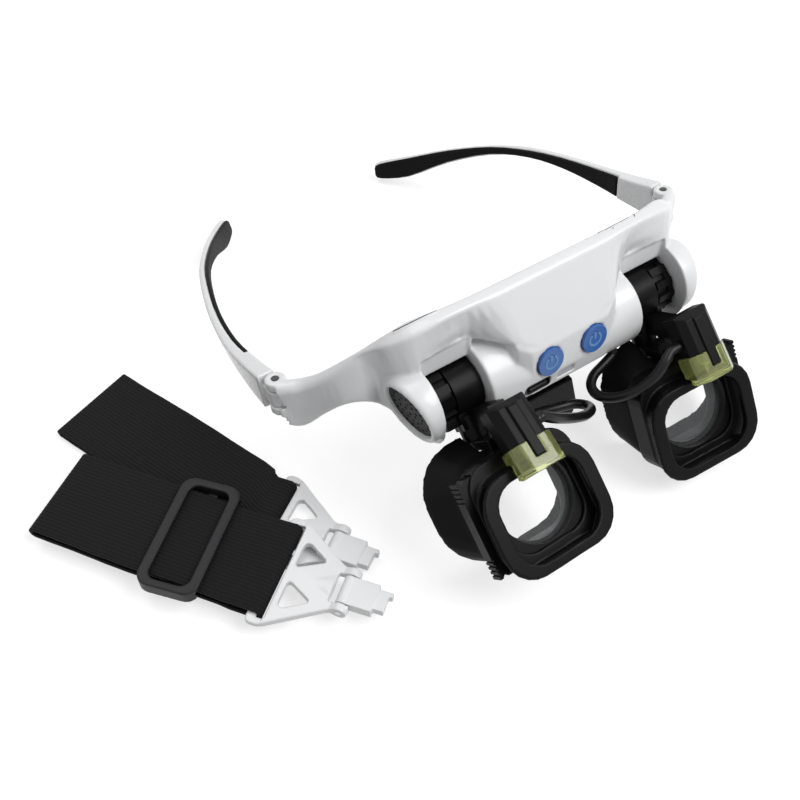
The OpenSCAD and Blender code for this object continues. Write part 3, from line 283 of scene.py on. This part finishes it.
def choose(piece):  # this piece alone is selected and active
    if bpy.context.object and bpy.context.object.mode != "OBJECT":
        bpy.ops.object.mode_set(mode="OBJECT")
    bpy.ops.object.select_all(action="DESELECT")
    piece.select_set(True)
    bpy.context.view_layer.objects.active = piece


def applyAll(piece):
    choose(piece)
    for modifier in list(piece.modifiers):
        bpy.ops.object.modifier_apply(modifier=modifier.name)


def finished(piece, body, look, angle=40):
    choose(piece)
    bpy.ops.object.transform_apply(location=True, rotation=True, scale=True)
    bpy.ops.object.shade_smooth_by_angle(angle=math.radians(angle))
    piece.data.materials.clear()
    piece.data.materials.append(looks[look].material)
    if body:
        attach(piece, body)
    return piece


def freshMesh(name, verts, faces):
    mesh = bpy.data.meshes.new(name)
    mesh.from_pydata([tuple(v) for v in verts], [], faces)
    mesh.update()
    piece = bpy.data.objects.new(name, mesh)
    bpy.context.scene.collection.objects.link(piece)
    return piece


def makeTube(name, places, radius, roundness):  # a closed round tube along the places
    curve = bpy.data.curves.new(name, "CURVE")
    curve.dimensions = "3D"
    spline = curve.splines.new("POLY")
    spline.points.add(len(places) - 1)
    for spot, p in zip(spline.points, places):
        spot.co = (*p, 1)
    curve.bevel_depth = radius
    curve.bevel_resolution = roundness
    curve.use_fill_caps = True
    piece = bpy.data.objects.new(name, curve)
    bpy.context.scene.collection.objects.link(piece)
    choose(piece)
    bpy.ops.object.convert(target="MESH")
    piece = bpy.context.object
    piece.name = name
    return piece


print("leads")
leadForm = {"diameter": 0.0034, "roundness": 4, "steps": 6}
leadRoutes = {  # in mm from the frame's origin, from the gland to the back of the lamp
    "left": [(-24, -42.4, -13.05), (-24, -42.9, -13.6), (-23.6, -43.4, -14.2), (-21, -44.2, -16.2),
             (-16, -44.6, -18.6), (-9, -45, -21), (-2, -45.8, -22.6), (3.4, -47.4, -22.8),
             (6, -50.6, -22), (4.4, -54.2, -19.4), (-1.4, -57.4, -14.8), (-9, -60, -8),
             (-16.6, -61.8, -1), (-22, -62.2, 3.6), (-25.4, -61.7, 6.2), (-26.8, -61.7, 6.2),
             (-28, -61.7, 6.2)],
    "right": [(22.6, -42.4, -13.05), (22.6, -42.9, -13.6), (21.6, -43.2, -14.2), (17.6, -44, -15.4),
              (12.4, -45.4, -16), (9.2, -48, -16.6), (8.4, -51.6, -16.8), (9.8, -55.4, -15.8),
              (12.8, -58.8, -13.4), (17, -61.4, -10), (21.4, -62.4, -6), (25.2, -61.8, -2.6),
              (28.4, -60.4, -0.8), (30, -60.2, -0.4), (31.2, -60.2, -0.4), (32.4, -60.2, -0.4)]}


def smoothLine(points, steps):  # one smooth curve through all the points
    line = []
    for i in range(len(points) - 1):
        a, b = points[max(i - 1, 0)], points[i]
        c, d = points[i + 1], points[min(i + 2, len(points) - 1)]
        for k in range(steps):
            t = k / steps
            line.append(0.5 * (2 * b + (c - a) * t + (2 * a - 5 * b + 4 * c - d) * t * t
                               + (3 * b - a - 3 * c + d) * t ** 3))
    return line + [points[-1]]


def makeLead(side):
    route = [Vector([a + b for a, b in zip(p, stand["origin"])]) * mm for p in leadRoutes[side]]
    line = smoothLine(route, leadForm["steps"])
    piece = makeTube(side + "Lead", line, leadForm["diameter"] / 2, leadForm["roundness"])
    finished(piece, None, "cable jacket")
    length = sum((b - a).length for a, b in zip(line, line[1:]))
    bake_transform(piece)
    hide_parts(side + "_lamp_lead")
    print(side, "lead", round(length, 4), "m")


for side in ("left", "right"):
    makeLead(side)


softening = {"merge": 0.00001, "factor": 0.5, "angle": 80}


def makeSkin(node, body, voxel, rounds, slot, look, limit):  # the CAD solid with softened edges
    source = nodes[node]
    mesh = source.data.copy()
    piece = bpy.data.objects.new(node + "Skin", mesh)
    bpy.context.scene.collection.objects.link(piece)
    mesh.transform(source.matrix_world)
    shape = bmesh.new()
    shape.from_mesh(mesh)
    bmesh.ops.remove_doubles(shape, verts=shape.verts, dist=softening["merge"])
    shape.to_mesh(mesh)
    shape.free()
    remesh = piece.modifiers.new("remesh", "REMESH")
    remesh.mode = "VOXEL"
    remesh.voxel_size = voxel
    smooth = piece.modifiers.new("smooth", "SMOOTH")
    smooth.factor = softening["factor"]
    smooth.iterations = rounds
    applyAll(piece)
    triangles = len(piece.data.polygons) * 2
    if triangles > limit:
        fewer = piece.modifiers.new("fewer", "DECIMATE")
        fewer.ratio = limit / triangles
        applyAll(piece)
    finished(piece, body, look, softening["angle"])
    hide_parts(node)
    print(node, len(piece.data.polygons), "faces")
    return piece


print("soft pieces")
# body, voxel in metres, rounds of smoothing, slot, finish, most triangles
softForms = {
    "left_eye_cup": ("left_holder", 0.00045, 14, "soft_black", "soft black", 150000),
    "right_eye_cup": ("right_holder", 0.00045, 14, "soft_black", "soft black", 150000),
    "nose_pad": ("frame", 0.00035, 5, "soft_black", "soft black", 150000),
    "left_temple_lining": ("left_temple", 0.00030, 3, "soft_black", "soft black", 150000),
    "right_temple_lining": ("right_temple", 0.00030, 3, "soft_black", "soft black", 150000)}
for node, form in softForms.items():
    makeSkin(node, *form)

print("moulded pieces")
mouldedForms = {
    "front_shell": ("frame", 0.00045, 12, "white_shell", "white shell", 190000),
    "left_temple": ("left_temple", 0.00034, 9, "white_temple", "white temple", 110000),
    "right_temple": ("right_temple", 0.00034, 9, "white_temple", "white temple", 110000),
    "left_lamp_housing": ("left_flip", 0.00022, 3, "black_plastic", "black plastic", 40000),
    "right_lamp_housing": ("right_flip", 0.00022, 3, "black_plastic", "black plastic", 40000),
    "left_lamp_cap": ("left_flip", 0.00020, 4, "cap_clear", "cap olive", 40000),
    "right_lamp_cap": ("right_flip", 0.00020, 4, "cap_clear", "cap olive", 40000),
    "left_lens_holder": ("left_holder", 0.00035, 2, "black_plastic", "black plastic", 110000),
    "right_lens_holder": ("right_holder", 0.00035, 2, "black_plastic", "black plastic", 110000),
    "rear_clip": ("headband", 0.00032, 3, "white_clip", "white clip", 90000),
    "front_clip": ("headband", 0.00032, 3, "white_clip", "white clip", 90000),
    "rear_plug": ("rear_plug", 0.00025, 2, "white_clip", "white clip", 60000),
    "front_plug": ("front_plug", 0.00025, 2, "white_clip", "white clip", 60000),
    "strap_slider": ("strap_slider", 0.00030, 4, "webbing_black", "slider black", 60000)}
skins = {node: makeSkin(node, *form) for node, form in mouldedForms.items()}


print("shell lines")
frameHalf = 400  # half the picture's width, in pixels
lineSteps = 8
search = {"rows": 24, "step": 0.5}  # how far below a spot the shell is looked for, in pixels
sunk = 0.55  # the share of a line's radius that lies in the shell
# the lid's lip on the left with a thin dark tube under it as painted shadow, its seam and latch dot on
# the right: spots, radius, slot and finish
lineForms = {
    "lipBar": ([(394, 333), (417, 321.5), (439, 310.5)], 0.00062, "white_shell", "white shell"),
    # painted shadow: a thin dark tube along the underside of the lip bar, where the lip's shade falls
    "lipShadow": ([(393, 331.4), (416, 319.8), (438, 309)], 0.00022, "switch_dark", "dull black"),
    "lidSeam": ([(597.5, 232.7), (612, 225), (627.9, 215.9)], 0.00022, "switch_dark", "dull black"),
    "lidNotch": ([(632.6, 213.4), (634.2, 214.8), (634.6, 216.6)], 0.00020, "switch_dark",
                 "dull black"),
    "latchDot": ([(612.3, 228.3), (613.6, 227.8)], 0.00038, "switch_dark", "dull black")}


def onSkin(piece, across, down, radius):  # where the camera meets the piece
    turn = camera.rotation_euler.to_matrix()
    half = camera.data.sensor_width / 2 / camera.data.lens
    for row in range(search["rows"]):
        low = down + row * search["step"]
        ray = turn @ Vector(((across - frameHalf) / frameHalf * half,
                             -(low - frameHalf) / frameHalf * half, -1)).normalized()
        hit, place, normal, face = piece.ray_cast(camera.location, ray)
        if hit:
            place = place - normal * radius * sunk
            place.z = min(place.z, cadBox[1][2] - radius)
            return place
    raise ValueError("no surface there")


def makeLine(name, spots, radius, slot, look):
    places = []
    for (x0, y0), (x1, y1) in zip(spots, spots[1:]):
        count = lineSteps + 1 if (x1, y1) == spots[-1] else lineSteps
        for k in range(count):
            t = k / lineSteps
            places.append(onSkin(skins["front_shell"], x0 + (x1 - x0) * t, y0 + (y1 - y0) * t, radius))
    finished(makeTube(name, places, radius, 3), "frame", look)


bpy.context.view_layer.update()
for name, form in lineForms.items():
    makeLine(name, *form)


print("webbing")
webbing = {"width": 32.6, "thick": 1.4, "middle": 0.8, "acrossCuts": 46, "wobble": 0.15, "sway": 0.35,
           "bevel": 0.00035, "ribs": 25, "picks": 1100, "fuzz": 1500, "depth": 0.00025,
           "start": (4.9, 2.5, 0), "eye": 5.0, "rise": 0.3,
           "overBar": ((-3.5, 0), (0, 0), (3, 0), (4.9, 0), (5.8, -0.7), (6.05, -1.6)),
           "underBar": ((6.05, 2.4), (5.8, 1.5))}
# low and high are the undersides of a strip's two layers, in mm
strips = {"back": {"end": (-58.9, -25.9), "turn": -69.5, "clipEnd": (-61.1, -28.1), "clipTurn": -56,
                   "length": 80, "low": 0.0, "high": 2.2, "seed": 7},
          "front": {"end": (-68.9, -47.1), "turn": -55.3, "clipEnd": (-68.9, -47.1), "clipTurn": -53,
                    "length": 76, "low": 4.4, "high": 7.9, "seed": 9}}


def webbingShader():
    shader = Shader("webbing black", (0.004, 0.004, 0.0045), 0.8)
    shader.set("Specular IOR Level", 0.2)
    uv = shader.add("ShaderNodeUVMap", {"uv_map": "weave"})
    along = shader.add("ShaderNodeSeparateXYZ", {}, {"Vector": uv}, "X")
    across = shader.add("ShaderNodeSeparateXYZ", {}, {"Vector": uv}, "Y")
    ribs = (across * (2 * math.pi * webbing["ribs"])).wave()
    picks = (along * (2 * math.pi * webbing["picks"])).wave()
    fuzz = shader.noise(webbing["fuzz"], 2)
    # painted shade: the colour follows the rib bump, darker in the grooves between ribs, with random
    # fuzz mixed in
    shader.set("Base Color", shader.mix((ribs * 0.7 + fuzz * 0.3).clamped(), (0.0012, 0.0012, 0.0015),
                                        (0.0075, 0.0075, 0.0085)))
    shader.set("Roughness", 0.72 + fuzz * 0.2)
    shader.bump(ribs * 0.75 + picks * ribs * 0.25 + fuzz * 0.2, webbing["depth"])
    return shader


looks["webbing black"] = webbingShader()


def stripPath(low, high, length):  # (u, z) of the webbing's middle, out and back to the clip's bar
    half = webbing["middle"]
    under, over, eye = low + half, high + half, low + webbing["eye"]
    reach = (high - low) / 2
    path = [(u, under) for u in webbing["start"]]
    path += [(-u, under) for u in range(4, int(length - reach - 2), 4)]
    path += [(-length + reach + half - reach * math.sin(math.pi * k / 10),
              (under + over) / 2 - reach * math.cos(math.pi * k / 10)) for k in range(11)]
    path += [(-u, over) for u in range(int(length - reach - 3), 9, -4)]
    path += [(-6, over + webbing["rise"] * (eye - over))]
    path += [(u, eye + z) for u, z in webbing["overBar"]]
    path += [(u, low + z) for u, z in webbing["underBar"]]
    return path


def makeStrip(name, form):
    path = stripPath(form["low"], form["high"], form["length"])
    random.seed(form["seed"])
    wobble = [random.uniform(-webbing["wobble"], webbing["wobble"]) for _ in path]
    cuts = webbing["acrossCuts"]
    verts, faces, spots, distance = [], [], [], 0
    for i, (u, z) in enumerate(path):
        if i:
            distance += math.dist(path[i - 1], path[i])
        share = max(0.0, min(1.0, (u + 8) / 8))  # the end turns with the clip
        width = webbing["width"] + wobble[i] + webbing["sway"] * math.sin(u / 9)
        for k in range(cuts + 1):
            v = (k / cuts - 0.5) * width
            flat = bandPoint(form["end"], form["turn"], u, v, z)
            turned = bandPoint(form["clipEnd"], form["clipTurn"], u, v, z)
            verts.append(flat.lerp(turned, share * share * (3 - 2 * share)))
            spots.append((distance * mm, k / cuts))
    row, count = cuts + 1, len(path)
    for i in range(count):
        for k in range(cuts):
            a, b = i * row + k, ((i + 1) % count) * row + k
            faces.append((a, b, b + 1, a + 1))
    piece = freshMesh(name + "Webbing", verts, faces)
    layer = piece.data.uv_layers.new(name="weave")
    for loop in piece.data.loops:
        layer.data[loop.index].uv = spots[loop.vertex_index]
    thick = piece.modifiers.new("thick", "SOLIDIFY")
    thick.thickness = webbing["thick"] * mm
    thick.offset = 0
    edge = piece.modifiers.new("edge", "BEVEL")
    edge.width = webbing["bevel"]
    edge.segments = 2
    edge.angle_limit = math.radians(60)
    applyAll(piece)
    finished(piece, "headband", "webbing black", 50)
    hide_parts("headband_webbing")
    print(name, "webbing", len(piece.data.polygons), "faces")


for name, form in strips.items():
    makeStrip(name, form)


print("button marks")
# in mm: the mark's place on the facet, its outer and inner radius, its stem, and its height
mark = {"across": 8.8, "out": -44.9, "up": -5.1, "radius": 2.6, "ring": 0.72, "gap": 32, "steps": 36,
        "stemHalf": 0.36, "stemFrom": 0.3, "stemTo": 1.02, "proud": 0.7, "height": 0.3}


def makeMark(side, sign):
    verts, faces = [], []
    r = mark["radius"]

    def block(points):  # a flat prism over a closed outline
        base = len(verts)
        n = len(points)
        for depth in (mark["proud"], mark["proud"] + mark["height"]):
            for x, z in points:
                verts.append(worn(sign * mark["across"] + x, mark["out"] - depth, mark["up"] + z))
        faces.append(tuple(range(base, base + n)))
        faces.append(tuple(range(base + 2 * n - 1, base + n - 1, -1)))
        for k in range(n):
            a, b = base + k, base + (k + 1) % n
            faces.append((a, a + n, b + n, b))

    gap = math.radians(mark["gap"])
    angles = [gap + (2 * math.pi - 2 * gap) * k / mark["steps"] for k in range(mark["steps"] + 1)]
    outer = [(r * math.sin(a), r * math.cos(a)) for a in angles]
    block(outer + [(x * mark["ring"], z * mark["ring"]) for x, z in reversed(outer)])
    half, low, high = mark["stemHalf"], mark["stemFrom"], r * mark["stemTo"]
    block([(-half, low), (half, low), (half, high), (-half, high)])
    piece = freshMesh(side + "Mark", verts, faces)
    shape = bmesh.new()
    shape.from_mesh(piece.data)
    bmesh.ops.recalc_face_normals(shape, faces=shape.faces)
    shape.to_mesh(piece.data)
    shape.free()
    finished(piece, side + "_button", "mark pale")


makeMark("left", -1)
makeMark("right", 1)


print("floor and light")
ground = {"size": 8, "height": -0.0002, "dull": (0.49, 0.49, 0.49), "pale": (0.51, 0.51, 0.51),
          "seen": (0.66, 0.66, 0.66)}
backdropRays = ("Is Camera Ray", "Is Transmission Ray", "Is Glossy Ray")
bpy.ops.mesh.primitive_plane_add(size=ground["size"], location=(0, 0, ground["height"]))
floor = bpy.context.object
floor.name = "floor"
floorShader = Shader("floor", ground["pale"], 0.9)
floorShader.set("Specular IOR Level", 0.0)
cloud = floorShader.noise(3, 2)
floorShader.set("Base Color", floorShader.mix(cloud, ground["dull"], ground["pale"]))
cameraRay, glassRay, shineRay = [floorShader.add("ShaderNodeLightPath", output=kind)
                                  for kind in backdropRays]
floorShader.set("Emission Strength", 1.0)
floorShader.set("Emission Color", floorShader.mix((cameraRay + glassRay + shineRay).clamped(),
                                                  (0, 0, 0), ground["seen"]))
floor.data.materials.append(floorShader.material)

roomLight = {"room": 0.32, "backdrop": 1.0}  # what lights the object, and what lies behind it
world = bpy.data.worlds.new("studio")
bpy.context.scene.world = world
world.use_nodes = True
worldNodes, worldLinks = world.node_tree.nodes, world.node_tree.links
worldNodes.clear()
out = worldNodes.new("ShaderNodeOutputWorld")
both = worldNodes.new("ShaderNodeMixShader")
for socket, name in ((1, "room"), (2, "backdrop")):
    glow = worldNodes.new("ShaderNodeBackground")
    glow.inputs["Color"].default_value = (1, 1, 1, 1)
    glow.inputs["Strength"].default_value = roomLight[name]
    worldLinks.new(glow.outputs[0], both.inputs[socket])
ray = worldNodes.new("ShaderNodeLightPath")
seenBy = ray.outputs[backdropRays[0]]
for kind in backdropRays[1:]:
    total = worldNodes.new("ShaderNodeMath")
    total.operation = "ADD"
    total.use_clamp = True
    worldLinks.new(seenBy, total.inputs[0])
    worldLinks.new(ray.outputs[kind], total.inputs[1])
    seenBy = total.outputs[0]
worldLinks.new(seenBy, both.inputs[0])
worldLinks.new(both.outputs[0], out.inputs[0])

lamps = {"key": ((0.45, -0.55, 0.9), (0.7, 0.7), 9.3), "top": ((-0.1, 0.4, 0.9), (0.5, 0.5), 2.2),
         "rim": ((-0.9, 0.3, 0.5), (0.3, 0.5), 0.5)}  # place, size in metres, watts
for name, (place, size, power) in lamps.items():
    lamp = bpy.data.objects.new(name, bpy.data.lights.new(name, "AREA"))
    bpy.context.scene.collection.objects.link(lamp)
    lamp.data.shape = "RECTANGLE"
    lamp.data.size, lamp.data.size_y = size
    lamp.data.energy = power
    lamp.location = place
    lamp.rotation_euler = (-Vector(place)).to_track_quat("-Z", "Y").to_euler()

bpy.context.scene.view_settings.view_transform = "Standard"
